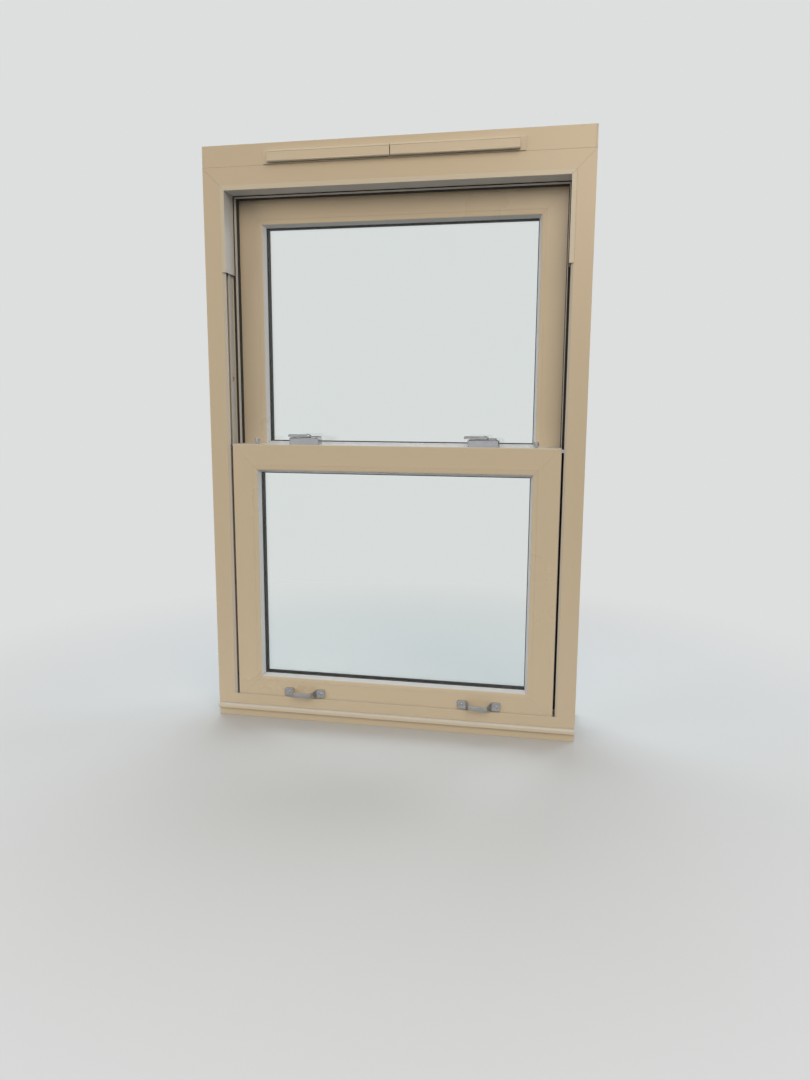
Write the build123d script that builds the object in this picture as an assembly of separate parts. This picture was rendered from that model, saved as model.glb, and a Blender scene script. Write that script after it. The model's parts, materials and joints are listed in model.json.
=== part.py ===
from build123d import *
import math
import os

# Vertical sliding sash window in white PVC-U, in millimetres.
# +Z is up, +X is to the right seen from the room, and the room side faces -Y.
# The origin is the middle of the underside of the outer sill, at the middle of the frame's depth.

# Overall size
frame_width = 850.0
frame_height = 1230.0
outer_sill_height = 30.0
outer_sill_reach = 40.0
extension_height = 45.0

# Frame section, measured from its outer edge inwards and from its room face outwards
frame_wall = 2.5
lip_width = 45.0
lip_bevel = 5.0
lip_depth = 9.0
track_step = 2.0
bead_width = 53.0
bead_rise = 10.0
bead_thickness = 8.0
bead_taper = 1.5
stop_width = 66.0
stop_thickness = 16.5

# Sashes
sash_depth = 44.0
sash_gap = 5.0
upper_head_gap = 4.0
sash_recess = 4.5
seal_gap = 2.0
rear_gap = 13.5
stop_gap = 2.5
meeting_overlap = 60.0
sash_travel = 375.0
sash_rail_width = 48.5
sash_lip_width = 65.0
sash_wall = 2.5
sash_round = 1.5
hardware_chamber = 11.5
sash_rebate_bevel = 3.0

# Glazing
pane_thickness = 4.0
cavity = 12.0
glazing_bead_depth = 13.0
glazing_bead_flat = 10.5
glazing_bead_round = 1.0
gasket_thickness = 2.0
gasket_height = 6.0
gasket_show = 1.2
glass_edge_cover = 11.5
spacer_height = 7.0
spacer_inset = 1.0

# Balance channels in the jambs
slot_width = 12.0
pocket_width = 21.0
pocket_depth = 24.0
latch_line = 15.5
tube_diameter = 14.0
tube_wall = 1.0
tube_sides = 12
tube_length = 540.0
tube_foot_gap = 12.0
tube_back_gap = 1.5
tube_mouth = 7.0
tube_plug_height = 16.0
rod_width = 6.0
rod_thickness = 1.5
rod_overlap = 43.0
shoe_height = 48.0
shoe_below_bar = 3.4
shoe_clearance = 0.4
pivot_height = 8.0
pivot_bar_width = 9.0
pivot_bar_height = 6.0
pivot_bar_reach = 45.0
pivot_tip_gap = 6.0

# Steel reinforcement
steel_thickness = 1.5
steel_clearance = 0.5
steel_end_gap = 95.0
steel_fixing_gap = 2.0

# Sill member
sill_face_height = 25.0
sill_upstand = 3.0
sill_seat = 11.0
sill_gap = 2.0
sill_weir = 22.0
sill_weir_drop = 5.0
sill_back_height = 8.0
trim_height = 11.0
trim_depth = 7.0
trim_round = 5.5

# Outer sill
sill_cap_thickness = 3.0
sill_nose_height = 18.0
sill_nose_depth = 5.0
sill_nose_rise = 9.0
sill_nose_bevel = 2.0
sill_drip = 5.0
sill_wall = 2.5
sill_chambers = 3

# Track covers in the room side track
cover_gap = 6.0
cover_wall = 2.0
cover_rise = 4.0
cover_flange = 6.0
cover_proud = 1.5
cover_back_gap = 1.5

# Pile strips
pile_width = 5.0
pile_height = 1.2
pile_inset = 0.8
pile_clearance = 0.3
bead_pile_seat = 2.5
bead_pile_show = 3.0
bead_pile_gap = 0.8

# Trickle vent on the head extension
extension_cap_thickness = 3.0
vent_plate_length = 564.0
vent_plate_height = 28.0
vent_plate_thickness = 3.0
vent_plate_lift = 1.0
flap_length = 270.0
flap_height = 24.0
flap_depth = 10.0
flap_wall = 1.8
flap_seam = 2.2
flap_clearance = 0.4
flap_bevel_height = 4.0
flap_bevel_depth = 3.0
hinge_height = 5.2
hinge_depth = 3.5
hinge_lug_radius = 3.0
hinge_lug_neck = 4.4
hinge_lug_width = 4.0
hinge_eye_radius = 3.1
hinge_sides = 8
hinge_pin_diameter = 3.0
hinge_pin_clearance = 0.05
vent_slot_length = 236.0
vent_slot_height = 10.0
canopy_length = 560.0
canopy_height = 30.0
canopy_depth = 14.0
canopy_wall = 1.8

# Meeting rail interlocks
interlock_thickness = 2.0
interlock_reach = 13.5
interlock_lip = 17.0
interlock_leg = 40.0
interlock_end_gap = 4.0
interlock_drop = 36.0
interlock_pass = 1.5
interlock_hook_gap = 6.0

# Cam catches
catch_from_side = 170.0
catch_length = 70.0
catch_depth = 38.0
catch_height = 16.0
catch_wall = 2.0
catch_top = 3.0
catch_corner = 7.0
catch_chamfer = 2.0
catch_back_gap = 1.5
catch_post_inset = 7.0
catch_post_width = 6.4
cam_bite = 4.0
cam_spindle_inset = 7.0
cam_spindle_offset = 2.0
cam_spindle_diameter = 8.0
cam_spindle_clearance = 0.06
cam_thickness = 4.0
cam_height = 5.0
cam_arm_width = 15.0
cam_rest_angle = -60.0
cam_gap = 1.0
lever_length = 48.0
lever_width = 15.0
lever_thickness = 6.0
lever_tip_radius = 5.4
lever_chamfer = 1.8
lever_lift = 0.4
keeper_length = 46.0
keeper_depth = 8.0
keeper_height = 18.0
keeper_bevel = 2.0
keeper_slot_clearance = 1.2
keeper_ledge_gap = 0.5

# Tilt latches
latch_plate_length = 78.0
latch_plate_width = 18.0
latch_plate_thickness = 1.6
latch_plate_inset = 22.0
knob_inset = 55.0
knob_diameter = 10.5
knob_height = 13.0
knob_bevel = 1.2
knob_sides = 16
knob_neck_diameter = 6.0
knob_neck_height = 4.0
knob_neck_sides = 12
latch_bolt_width = 9.0
latch_bolt_height = 7.0
latch_bolt_throw = 8.0
latch_bolt_clearance = 0.3
latch_travel = 15.4

# Pull handles
handle_from_side = 167.0
handle_length = 100.0
handle_foot_length = 20.0
handle_foot_height = 20.0
handle_bar_height = 10.0
handle_thickness = 4.0
handle_reach = 25.0
handle_slope = 9.0
handle_from_line = 3.0
handle_corner = 3.0
handle_inner_set = 2.8
handle_chamfer = 1.2

# Holes for frame fixings through the jambs
fixing_hole_diameter = 7.5
fixing_access_width = 11.0
fixing_count = 4
fixing_end_distance = 135.0
fixing_depth = 42.0

# How far cutting tools reach past a face, and the number of flats that stand for a quarter turn
past = 1.0
quarter_sides = 3

# Levels and depths that follow from the sizes above
half_width = frame_width / 2
frame_foot = outer_sill_height
frame_top = frame_foot + frame_height
sill_line = frame_foot + sill_face_height
lower_foot = frame_foot + sill_seat + sill_gap
upper_top = frame_top - lip_width - upper_head_gap
sash_height = (upper_top - lower_foot + meeting_overlap) / 2
lower_top = lower_foot + sash_height
upper_foot = upper_top - sash_height
lower_width = frame_width - 2 * (lip_width + sash_gap)
upper_width = lower_width
bead_front = sash_recess + sash_depth + seal_gap
bead_back = bead_front + bead_thickness
upper_face = bead_back + rear_gap
stop_front = upper_face + sash_depth + stop_gap
frame_depth = stop_front + stop_thickness
room = -frame_depth / 2
lower_floor = lip_width - track_step
upper_floor = bead_width - bead_rise
lower_latch_depth = sash_recess + latch_line
upper_latch_depth = upper_face + latch_line
glass_front = glazing_bead_depth + gasket_thickness
unit_thickness = 2 * pane_thickness + cavity
glass_back = glass_front + unit_thickness
glass_lip_front = glass_back + gasket_thickness
glass_inset = sash_lip_width - glass_edge_cover
rod_length = sash_travel + tube_foot_gap + rod_overlap
cover_foot = lower_top + sash_travel + cover_gap
catch_offset = lower_width / 2 - catch_from_side
handle_offset = lower_width / 2 - handle_from_side
interlock_half = half_width - bead_width - interlock_end_gap
keeper_front = upper_face - keeper_depth
cam_spindle_depth = sash_recess + sash_depth - catch_back_gap - cam_spindle_inset
cam_radius = keeper_front - cam_spindle_depth + cam_bite


# General shapes

def face_yz(points):
    # Face on the plane x = 0 from points given as (distance from the edge, depth)
    outline = Polyline([(0, depth, rise) for rise, depth in points], close=True)
    return make_face(outline)


def box(x_range, y_range, z_range):
    # Plain block between two corners
    size = [high - low for low, high in (x_range, y_range, z_range)]
    middle = [(high + low) / 2 for low, high in (x_range, y_range, z_range)]
    return Pos(*middle) * Box(*size)


def prism_x(points, x_low, x_high):
    # Outline in y and z, run along x
    outline = make_face(Polyline([(x_low, y, z) for y, z in points], close=True))
    return extrude(outline, amount=x_high - x_low, dir=(1, 0, 0))


def prism_y(points, y_low, y_high):
    # Outline in x and z, run along y
    outline = make_face(Polyline([(x, y_low, z) for x, z in points], close=True))
    return extrude(outline, amount=y_high - y_low, dir=(0, 1, 0))


def prism_z(points, z_low, z_high):
    # Outline in x and y, run along z
    outline = make_face(Polyline([(x, y, z_low) for x, y in points], close=True))
    return extrude(outline, amount=z_high - z_low, dir=(0, 0, 1))


def arc_points(radius, start, stop, flats, centre=(0, 0)):
    # Points on an arc between two angles in degrees, to be joined by flats
    points = []
    for step in range(flats + 1):
        angle = math.radians(start + (stop - start) * step / flats)
        points.append((centre[0] + radius * math.cos(angle), centre[1] + radius * math.sin(angle)))
    return points


def post(radius, sides, height):
    # Upright prism with regular sides, standing on z = 0
    return extrude(RegularPolygon(radius, sides), amount=height)


def along_x(solid):
    # Turns an upright piece so that it lies along +x
    return Rot(0, 90, 0) * solid


def bar(outline, hollows, length, mitre_start=True, mitre_end=True):
    # Extruded member along +X with its outer edge on z = 0, cut at 45 degrees where it is mitred
    solid = extrude(face_yz(outline), amount=length, dir=(1, 0, 0))
    for hollow in hollows:
        solid -= extrude(face_yz(hollow), amount=length, dir=(1, 0, 0))
    reach = max(rise for rise, depth in outline) + past
    low = min(depth for rise, depth in outline) - past
    high = max(depth for rise, depth in outline) + past
    if mitre_start:
        solid -= prism_y([(-past, -past), (reach, reach), (-past, reach)], low, high)
    if mitre_end:
        end = length + past
        solid -= prism_y([(end, -past), (end, reach), (length - reach, reach)], low, high)
    return solid


def rect(rise_low, rise_high, depth_low, depth_high):
    # Four corners of a rectangle in a section
    return [(rise_low, depth_low), (rise_high, depth_low), (rise_high, depth_high), (rise_low, depth_high)]


def as_bottom(member, left, foot, depth):
    # Lays a member along the bottom edge of a rectangle
    return Pos(left, depth, foot) * member


def as_top(member, right, top, depth):
    # Lays a member along the top edge
    return Pos(right, depth, top) * Rot(0, 180, 0) * member


def as_left(member, left, top, depth):
    # Stands a member along the left edge, from the top down
    return Pos(left, depth, top) * Rot(0, 90, 0) * member


def as_right(member, right, foot, depth):
    # Stands a member along the right edge, from the foot up
    return Pos(right, depth, foot) * Rot(0, -90, 0) * member


def ring(outline, hollows, half, foot, top, depth):
    # Four mitred members of one section round a rectangle, as bottom, right, top and left
    across = bar(outline, hollows, 2 * half)
    upright = bar(outline, hollows, top - foot)
    return [
        as_bottom(across, -half, foot, depth),
        as_right(upright, half, foot, depth),
        as_top(across, half, top, depth),
        as_left(upright, -half, top, depth),
    ]


def closed_strip(half, foot, top, front, depth, outer, inner):
    # One closed strip round a rectangle, between two distances from its edge
    strip = box((-half + outer, half - outer), (front, front + depth), (foot + outer, top - outer))
    hole = box((-half + inner, half - inner), (front - past, front + depth + past), (foot + inner, top - inner))
    return strip - hole


def mirrored(solid):
    # The same piece on the other side of the window
    return mirror(solid, about=Plane.YZ)


# Frame

def pocket(floor, middle):
    # Balance channel: a wide pocket behind a narrow slot in the track floor
    inner = floor - frame_wall
    return [
        rect(inner - pocket_depth, inner, middle - pocket_width / 2, middle + pocket_width / 2),
        rect(inner - past, floor + past, middle - slot_width / 2, middle + slot_width / 2),
    ]


def frame_outline():
    # Room lip, room track, parting bead, outer track and outer stop
    return [
        (0, 0),
        (lip_width - lip_bevel, 0),
        (lip_width, lip_bevel),
        (lip_width, lip_depth),
        (lower_floor, lip_depth),
        (lower_floor, bead_front),
        (bead_width - bead_taper, bead_front),
        (bead_width, bead_back),
        (upper_floor, bead_back),
        (upper_floor, stop_front),
        (stop_width, stop_front),
        (stop_width, frame_depth - lip_bevel),
        (stop_width - lip_bevel, frame_depth),
        (0, frame_depth),
    ]


def frame_chambers():
    # Hollow chambers, and the two balance channels
    web = min(lower_floor, upper_floor) - frame_wall - pocket_depth - frame_wall
    inner = web + frame_wall
    lower_end = lower_latch_depth + pocket_width / 2 + frame_wall
    upper_start = upper_latch_depth - pocket_width / 2 - frame_wall
    upper_end = upper_latch_depth + pocket_width / 2 + frame_wall
    middle = frame_depth / 2
    back = frame_depth - frame_wall
    return pocket(lower_floor, lower_latch_depth) + pocket(upper_floor, upper_latch_depth) + [
        rect(frame_wall, web, frame_wall, middle - frame_wall / 2),
        rect(frame_wall, web, middle + frame_wall / 2, back),
        rect(inner, lower_floor - frame_wall, lower_end, bead_front - frame_wall),
        rect(inner, upper_floor - frame_wall, bead_front, upper_start),
        rect(inner, upper_floor - frame_wall, upper_end, back),
        rect(upper_floor, stop_width - frame_wall - lip_bevel, stop_front + frame_wall, back),
    ]


def sill_outline():
    # Upstand on the room side, seat, weir behind the lower sash and a slope to the outside
    return [
        (0, 0),
        (sill_face_height, 0),
        (sill_face_height, sill_upstand),
        (sill_seat, sill_upstand),
        (sill_seat, bead_front),
        (sill_weir, bead_front),
        (sill_weir, bead_back),
        (sill_weir - sill_weir_drop, bead_back),
        (sill_back_height, frame_depth),
        (0, frame_depth),
    ]


def frame_head():
    member = bar(frame_outline(), frame_chambers(), frame_width)
    return as_top(member, half_width, frame_top, 0)


def fixing_levels():
    # Heights of the frame fixings, evenly spaced
    pitch = (frame_height - 2 * fixing_end_distance) / (fixing_count - 1)
    return [frame_foot + fixing_end_distance + step * pitch for step in range(fixing_count)]


def frame_jamb():
    # Left jamb, scribed over the sill member at its foot and drilled for frame fixings
    member = bar(frame_outline(), frame_chambers(), frame_height, mitre_start=True, mitre_end=False)
    jamb = as_left(member, -half_width, frame_top, 0)
    sill = bar(sill_outline(), [], frame_width, mitre_start=False, mitre_end=False)
    jamb -= as_bottom(sill, -half_width, frame_foot, 0)
    hole = along_x(Cylinder(fixing_hole_diameter / 2, 2 * frame_wall + past))
    half = fixing_access_width / 2
    for level in fixing_levels():
        jamb -= Pos(-half_width, fixing_depth, level) * hole
        jamb -= box((-half_width + frame_wall + past, -half_width + stop_width),
                    (fixing_depth - half, fixing_depth + half), (level - half, level + half))
    return jamb


def frame_sill():
    hollows = [
        rect(frame_wall, sill_seat - frame_wall, frame_wall, bead_front - frame_wall),
        rect(frame_wall, sill_back_height - frame_wall, bead_back, frame_depth - 2 * frame_wall),
    ]
    member = bar(sill_outline(), hollows, frame_width, mitre_start=False, mitre_end=False)
    return as_bottom(member, -half_width, frame_foot, 0)


def frame_reinforcement():
    # Steel channels in the room side chamber of the head and both jambs
    web = lower_floor - 2 * frame_wall - pocket_depth
    inner = frame_wall + steel_clearance
    outer = web - steel_clearance
    front = frame_wall + steel_clearance
    back = fixing_depth - fixing_hole_diameter / 2 - steel_fixing_gap
    outline = rect(inner, outer, front, back)
    hollow = rect(inner + steel_thickness, outer + past, front + steel_thickness, back - steel_thickness)
    head = bar(outline, [hollow], frame_width - 2 * steel_end_gap, False, False)
    jamb = bar(outline, [hollow], frame_height - 2 * steel_end_gap, False, False)
    left = as_left(jamb, -half_width, frame_top - steel_end_gap, 0)
    return [as_top(head, half_width - steel_end_gap, frame_top, 0), left, mirrored(left)]


def outer_sill_outline():
    nose = frame_depth + outer_sill_reach
    drip_foot = sill_nose_rise - sill_drip
    return [
        (0, 0),
        (outer_sill_height, 0),
        (outer_sill_height, frame_depth),
        (sill_nose_height + sill_nose_bevel, nose - sill_nose_bevel),
        (sill_nose_height, nose),
        (drip_foot, nose),
        (drip_foot, nose - sill_nose_depth),
        (sill_nose_rise, nose - sill_nose_depth),
        (sill_nose_rise, frame_depth + sill_nose_depth),
        (0, frame_depth + sill_nose_depth),
    ]


def outer_sill():
    # Chambered sill, and the two plates that close its ends
    pitch = (frame_depth - sill_wall) / sill_chambers
    hollows = [
        rect(sill_wall, outer_sill_height - sill_wall, sill_wall + step * pitch, (step + 1) * pitch)
        for step in range(sill_chambers)
    ]
    length = frame_width - 2 * sill_cap_thickness
    member = bar(outer_sill_outline(), hollows, length, False, False)
    cap = bar(outer_sill_outline(), [], sill_cap_thickness, False, False)
    left_cap = as_bottom(cap, -half_width, 0, 0)
    return as_bottom(member, -length / 2, 0, 0), [left_cap, mirrored(left_cap)]


def sill_trim():
    # Rounded bead that closes the joint below the sill member's face
    trim = box((-half_width, half_width), (-trim_depth, 0), (frame_foot - trim_height, frame_foot))
    front = trim.edges().filter_by(Axis.X).group_by(Axis.Y)[0].sort_by(Axis.Z)
    return fillet(front[-1], trim_round)


def head_extension():
    # Chambered extension with two air slots through it, and the plates that close its ends
    middle = frame_depth / 2
    hollows = [
        rect(frame_wall, extension_height - frame_wall, frame_wall, middle - frame_wall / 2),
        rect(frame_wall, extension_height - frame_wall, middle + frame_wall / 2, frame_depth - frame_wall),
    ]
    length = frame_width - 2 * extension_cap_thickness
    outline = rect(0, extension_height, 0, frame_depth)
    extension = as_bottom(bar(outline, hollows, length, False, False), -length / 2, frame_top, 0)
    for side in (-1, 1):
        extension -= vent_slot(side, -past, frame_depth + past)
    cap = box((-half_width, -length / 2), (0, frame_depth), (frame_top, frame_top + extension_height))
    return extension, [cap, mirrored(cap)]


def track_cover_outline():
    # Clip-in cover of the room side track: flange over the lip, web and rear leg, open at the back
    web = lip_width + cover_rise
    back = bead_front - cover_back_gap
    return [
        (lip_width - cover_flange, -cover_proud),
        (web, -cover_proud),
        (web, back),
        (lower_floor, back),
        (lower_floor, back - cover_wall),
        (web - cover_wall, back - cover_wall),
        (web - cover_wall, 0),
        (lip_width - cover_flange, 0),
    ]


def left_and_head(outline, foot):
    # One section up the left jamb from a given height, mitred to a piece along the head
    upright = bar(outline, [], frame_top - foot, mitre_start=True, mitre_end=False)
    left = as_left(upright, -half_width, frame_top, 0)
    return left, as_top(bar(outline, [], frame_width), half_width, frame_top, 0)


def frame_seals():
    # Pile strips on both faces of the parting bead and on the outer stop, and one on the sill's seat
    room_high = bead_width - bead_taper - pile_inset
    outer_low = bead_width + 2 * pile_inset
    outlines = [
        rect(room_high - pile_width, room_high, bead_front - pile_height, bead_front),
        rect(bead_width - bead_pile_seat, bead_width + bead_pile_show, bead_back, upper_face - bead_pile_gap),
        rect(outer_low, outer_low + pile_width, stop_front - pile_height, stop_front),
    ]
    strips = []
    for outline in outlines:
        left, head = left_and_head(outline, sill_line)
        strips += [left, mirrored(left), head]
    seat = frame_foot + sill_seat
    middle = sash_recess + sash_depth / 2
    reach = half_width - lower_floor
    return strips + [box((-reach, reach), (middle, middle + pile_width), (seat, seat + sill_gap - pile_clearance))]


# Trickle vent

def flap_middle(side):
    # Middle of one flap's length
    return side * (flap_length + flap_seam) / 2


def flap_foot():
    return frame_top + vent_plate_lift + (vent_plate_height - flap_height) / 2


def hinge_place():
    # Depth and height of the line that both flaps turn on
    return -vent_plate_thickness - hinge_depth, flap_foot() + hinge_height


def vent_slot(side, front, back):
    # Air slot behind one flap
    foot = frame_top + vent_plate_lift + (vent_plate_height - vent_slot_height) / 2
    half = vent_slot_length / 2
    return box((flap_middle(side) - half, flap_middle(side) + half), (front, back), (foot, foot + vent_slot_height))


def hinge_lug(x_low, pin_low, pin_high):
    # Lug on the plate with a round pin that carries one end of a flap
    depth, level = hinge_place()
    neck = hinge_lug_neck / 2
    lug = box((x_low, x_low + hinge_lug_width), (depth, 0), (level - neck, level + neck))
    lug += Pos(x_low, depth, level) * along_x(post(hinge_lug_radius, hinge_sides, hinge_lug_width))
    pin = along_x(Cylinder(hinge_pin_diameter / 2, pin_high - pin_low))
    return lug + Pos((pin_low + pin_high) / 2, depth, level) * pin


def vent_body():
    # Plate over the air slots with four lugs for the flaps
    plate_foot = frame_top + vent_plate_lift
    half = vent_plate_length / 2
    body = box((-half, half), (-vent_plate_thickness, 0), (plate_foot, plate_foot + vent_plate_height))
    for side in (-1, 1):
        body -= vent_slot(side, -vent_plate_thickness - past, past)
        low = flap_middle(side) - flap_length / 2
        high = flap_middle(side) + flap_length / 2
        inner = flap_wall + flap_clearance
        body += hinge_lug(low + inner, low, low + inner + hinge_lug_width)
        body += hinge_lug(high - inner - hinge_lug_width, high - inner - hinge_lug_width, high)
    return body


def vent_flap(side):
    # Hollow flap, open at the back, with an eye at each end that turns on the plate's pins
    depth, level = hinge_place()
    foot = flap_foot()
    top = foot + flap_height
    back = -vent_plate_thickness - flap_clearance
    front = -vent_plate_thickness - flap_depth
    low = flap_middle(side) - flap_length / 2
    bevel = top - flap_bevel_height
    outer = [
        (depth, foot),
        (front, foot),
        (front, bevel),
        (front + flap_bevel_depth, top),
        (back, top),
        (back, foot + flap_height / 2),
        (depth, foot + flap_height / 2),
    ]
    flap = prism_x(outer, low, low + flap_length)
    wall = flap_wall
    inner = [
        (past, foot + wall),
        (front + wall, foot + wall),
        (front + wall, bevel - wall / 2),
        (front + flap_bevel_depth + wall / 2, top - wall),
        (past, top - wall),
    ]
    flap -= prism_x(inner, low + wall, low + flap_length - wall)
    eye = along_x(post(hinge_eye_radius, 2 * hinge_sides, wall))
    for x_low in (low, low + flap_length - wall):
        flap += Pos(x_low, depth, level) * eye
    bore = along_x(Cylinder(hinge_pin_diameter / 2 + hinge_pin_clearance, flap_length + 2 * past))
    return flap - Pos(flap_middle(side), depth, level) * bore


def vent_canopy():
    # Weather hood over the slots on the outside, open below
    foot = frame_top + vent_plate_lift + (vent_plate_height - canopy_height) / 2
    top = foot + canopy_height
    shoulder = top - canopy_depth
    front = frame_depth + canopy_depth
    half = canopy_length / 2
    wall = canopy_wall
    hood = prism_x([(frame_depth, foot), (front, foot), (front, shoulder), (frame_depth, top)], -half, half)
    inner = [
        (frame_depth - past, foot - past),
        (front - wall, foot - past),
        (front - wall, shoulder - wall / 2),
        (frame_depth - past, top - 2 * wall),
    ]
    return hood - prism_x(inner, -half + wall, half - wall)


# Balances

def tube_axis(floor):
    # Distance of a balance's axis from the middle of the window
    return half_width - floor + frame_wall + pocket_depth - tube_back_gap - tube_diameter / 2


def shoe_top(foot):
    # Top of the balance shoe under a sash whose foot is at this height
    return foot + pivot_height - pivot_bar_height / 2 - shoe_below_bar + shoe_height


def balance_tube(depth, foot, floor):
    # Tube with a narrow mouth for its rod and a square plug on top, bearing on the back of the channel
    x = tube_axis(floor)
    radius = tube_diameter / 2
    tube = post(radius, tube_sides, tube_length)
    tube -= Pos(0, 0, 2 * tube_wall) * post(radius - tube_wall, tube_sides, tube_length)
    tube -= Pos(0, 0, -past) * post(tube_mouth / 2, tube_sides, tube_length)
    top = foot + tube_length
    half = radius - tube_wall
    plug = box((x - half, x + radius + tube_back_gap), (depth - half, depth + half),
               (top - tube_wall, top + tube_plug_height))
    return Pos(x, depth, foot) * tube + plug


def balance_tubes():
    # Two tubes for each sash, clear of its shoes when it stands at its highest
    tubes = []
    for depth, foot, floor in (
        (lower_latch_depth, shoe_top(lower_foot) + sash_travel, lower_floor),
        (upper_latch_depth, shoe_top(upper_foot), upper_floor),
    ):
        tube = balance_tube(depth, foot + tube_foot_gap, floor)
        tubes += [tube, mirrored(tube)]
    return tubes


def balance_rods(depth, foot, floor):
    # Flat rods standing on the balance shoes
    x = tube_axis(floor)
    half_x = rod_width / 2
    half_y = rod_thickness / 2
    low = shoe_top(foot)
    rod = box((x - half_x, x + half_x), (depth - half_y, depth + half_y), (low, low + rod_length))
    return [rod, mirrored(rod)]


def pivot_shoes(width, foot, depth, floor):
    # On each side a shoe block that runs in the pocket and the pivot bar fixed in the sash
    inner = half_width - floor + frame_wall + shoe_clearance
    outer = inner + pocket_depth - 2 * shoe_clearance
    high = shoe_top(foot)
    half = pocket_width / 2 - shoe_clearance
    shoe = box((inner, outer), (depth - half, depth + half), (high - shoe_height, high))
    bar_low = foot + pivot_height - pivot_bar_height / 2
    bar_half = pivot_bar_width / 2
    tip = outer - pivot_tip_gap
    pivot = box((width / 2 - pivot_bar_reach, tip), (depth - bar_half, depth + bar_half),
                (bar_low, bar_low + pivot_bar_height))
    shoe -= box((inner - past, tip), (depth - bar_half, depth + bar_half), (bar_low, bar_low + pivot_bar_height))
    return [shoe, mirrored(shoe), pivot, mirrored(pivot)]


# Sashes

def sash_outline():
    return [
        (0, sash_round),
        (sash_round, 0),
        (sash_rail_width, 0),
        (sash_rail_width, glass_lip_front),
        (sash_lip_width, glass_lip_front),
        (sash_lip_width - sash_rebate_bevel, sash_depth),
        (sash_round, sash_depth),
        (0, sash_depth - sash_round),
    ]


def sash_chambers():
    inner = sash_wall + hardware_chamber
    lip_end = sash_lip_width - sash_rebate_bevel - 2 * sash_wall
    return [
        rect(sash_wall, inner, sash_wall, sash_depth - sash_wall),
        rect(inner + sash_wall, sash_rail_width - sash_wall, sash_wall, glass_lip_front - sash_wall),
        rect(inner + sash_wall, lip_end, glass_lip_front, sash_depth - sash_wall),
    ]


def latch_cut(width, top, depth):
    # Channel for a tilt latch bolt through the stile's outer wall, and the slot for its knob
    high = top - sash_wall
    low = high - latch_bolt_height - 2 * latch_bolt_clearance
    half = latch_bolt_width / 2 + latch_bolt_clearance
    knob_x = width / 2 - knob_inset
    start = knob_x - knob_neck_diameter - latch_travel
    channel = box((start, width / 2 + past), (depth - half, depth + half), (low, high))
    slot = box((start, knob_x + knob_neck_diameter), (depth - half, depth + half), (low, top + past))
    return channel + slot


def plate_cut(width, top, depth):
    # Rebate that sinks the latch plate flush into the top edge
    high = width / 2 - latch_plate_inset
    half = latch_plate_width / 2
    return box((high - latch_plate_length, high), (depth - half, depth + half),
               (top - latch_plate_thickness, top + past))


def pivot_cut(width, foot, depth):
    # Hole for the pivot bar through the stile's outer wall
    half = pivot_bar_width / 2
    low = foot + pivot_height - pivot_bar_height / 2
    return box((width / 2 - pivot_bar_reach, width / 2 + past), (depth - half, depth + half),
               (low, low + pivot_bar_height))


def sash_members(width, foot, top, depth):
    # Bottom rail, right stile, top rail and left stile, with the holes for latches and pivots
    members = ring(sash_outline(), sash_chambers(), width / 2, foot, top, depth)
    latch = latch_cut(width, top, depth + latch_line) + plate_cut(width, top, depth + latch_line)
    pivot = pivot_cut(width, foot, depth + latch_line)
    bottom, right, upper, left = members
    bottom = bottom - pivot - mirrored(pivot)
    upper = upper - latch - mirrored(latch)
    right = right - latch - pivot
    return bottom, right, upper, mirrored(right)


def sash_steel(width, foot, top, depth):
    # Square steel tubes in the main chamber of all four members
    inner = 2 * sash_wall + hardware_chamber + steel_clearance
    outer = sash_rail_width - sash_wall - steel_clearance
    front = sash_wall + steel_clearance
    back = glass_lip_front - sash_wall - steel_clearance
    wall = steel_thickness
    hollow = rect(inner + wall, outer - wall, front + wall, back - wall)
    outline = rect(inner, outer, front, back)
    across = bar(outline, [hollow], width - 2 * steel_end_gap, False, False)
    upright = bar(outline, [hollow], top - foot - 2 * steel_end_gap, False, False)
    half = width / 2
    left = as_left(upright, -half, top - steel_end_gap, depth)
    return [
        as_bottom(across, -half + steel_end_gap, foot, depth),
        as_top(across, half - steel_end_gap, top, depth),
        left,
        mirrored(left),
    ]


def glazing_beads(width, foot, top, depth):
    # Four mitred beads that hold the glass on the room side
    flat_end = sash_rail_width + glazing_bead_flat
    outline = [
        (sash_rail_width, 0),
        (flat_end - 2 * glazing_bead_round, 0),
        (flat_end, glazing_bead_round),
        (sash_lip_width, glazing_bead_depth),
        (sash_rail_width, glazing_bead_depth),
    ]
    return ring(outline, [], width / 2, foot, top, depth)


def glass_panes(width, foot, top, depth):
    half = width / 2 - glass_inset
    panes = []
    for front in (depth + glass_front, depth + glass_back - pane_thickness):
        panes.append(box((-half, half), (front, front + pane_thickness), (foot + glass_inset, top - glass_inset)))
    return panes


def glass_spacer(width, foot, top, depth):
    # Closed spacer frame between the panes, close to their edges
    outer = glass_inset + spacer_inset
    front = depth + glass_front + pane_thickness
    return closed_strip(width / 2, foot, top, front, cavity, outer, outer + spacer_height)


def gaskets(width, foot, top, depth):
    # Black strips on both faces of the glass unit
    inner = sash_lip_width + gasket_show
    return [
        closed_strip(width / 2, foot, top, depth + front, gasket_thickness, inner - gasket_height, inner)
        for front in (glazing_bead_depth, glass_back)
    ]


def lower_interlock():
    # Downward hook along the back of the lower sash's meeting rail
    base = sash_recess + sash_depth
    tip = base + interlock_reach
    thick = interlock_thickness
    points = [
        (base, lower_top - interlock_leg),
        (base, lower_top),
        (tip, lower_top),
        (tip, lower_top - interlock_lip),
        (tip - thick, lower_top - interlock_lip),
        (tip - thick, lower_top - thick),
        (base + thick, lower_top - thick),
        (base + thick, lower_top - interlock_leg),
    ]
    return prism_x(points, -interlock_half, interlock_half)


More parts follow.
